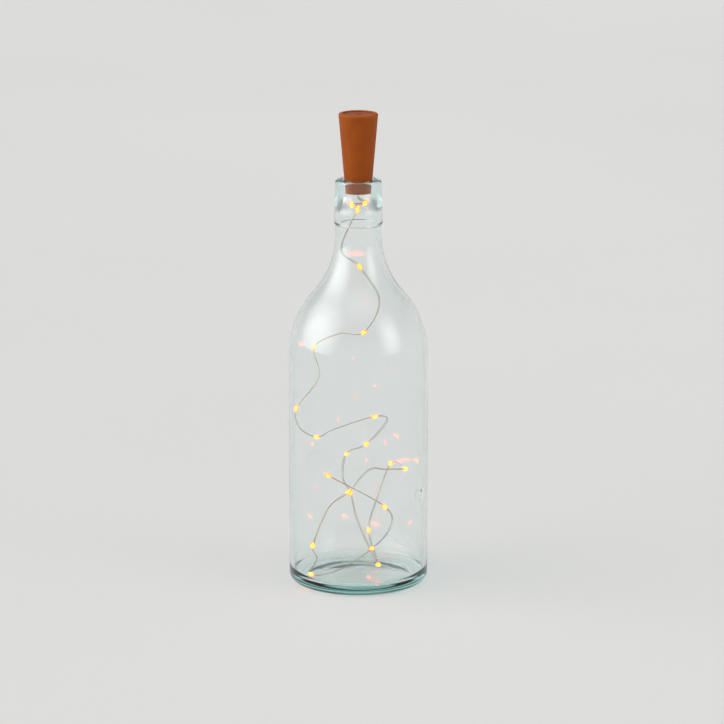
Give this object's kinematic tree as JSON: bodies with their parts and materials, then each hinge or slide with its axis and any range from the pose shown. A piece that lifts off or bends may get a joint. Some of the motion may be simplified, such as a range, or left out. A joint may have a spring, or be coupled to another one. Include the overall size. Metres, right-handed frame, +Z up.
{
  "type": "cork bottle light",
  "caption": "Clear glass bottle with a tapered battery stopper and a string of small warm lights inside.",
  "frame": {"origin": "on the bottle's axis, at the surface that the bottle stands on", "axes": "+Z up along the bottle's axis, -Y towards the viewer of the picture, +X to the viewer's right"},
  "size_m": [0.088, 0.088, 0.3015],
  "materials": {
    "clear_glass": "polished clear glass with a faint blue-green tint",
    "stopper_plastic": "smooth matte cork-coloured moulding",
    "cap_plastic": "smooth matte cork-coloured moulding",
    "tray_plastic": "moulded black plastic",
    "slider_plastic": "moulded black plastic",
    "grommet_rubber": "soft dark rubber",
    "steel": "nickel plated steel",
    "cell_steel": "drawn steel cell case",
    "contact_brass": "sprung brass strip",
    "board_green": "fibre board with solder mask",
    "resistor_black": "ceramic chip",
    "lead_red": "insulated flexible lead",
    "lead_black": "insulated flexible lead",
    "solder": "bright solder",
    "string_wire": "varnished fine wire",
    "bead_resin": "clear cast resin, lit warm",
    "chip_phosphor": "warm white phosphor"
  },
  "bodies": {
    "bottle": {"bottle": "clear_glass", "string_wire_a": "string_wire", "string_wire_b": "string_wire", "led_beads": "bead_resin", "led_chips": "chip_phosphor"},
    "stopper": {"stopper_shell": "stopper_plastic", "wire_grommet": "grommet_rubber"},
    "tray": {"end_cap": "cap_plastic", "cap_screws": "steel", "battery_tray": "tray_plastic", "cell_upper": "cell_steel", "cell_middle": "cell_steel", "cell_lower": "cell_steel", "cell_spring": "steel", "spring_plate": "contact_brass", "positive_contact": "contact_brass", "contact_strip": "contact_brass", "circuit_board": "board_green", "resistor": "resistor_black", "switch_housing": "steel", "lead_positive": "lead_red", "lead_negative": "lead_black", "solder_joints": "solder"},
    "slider": {"switch_slider": "slider_plastic"}
  },
  "joints": [
    {"name": "stopper_pull", "type": "slide", "parent": "bottle", "child": "stopper", "axis": [0, 0, 1], "range_m": [0, 0.012]},
    {"name": "tray_pull", "type": "slide", "parent": "stopper", "child": "tray", "axis": [0, 0, 1], "range_m": [0, 0.03], "deforming": ["lead_positive", "lead_negative"]},
    {"name": "switch_slide", "type": "slide", "parent": "tray", "child": "slider", "axis": [1, 0, 0], "range_m": [-0.002, 0]}
  ]
}
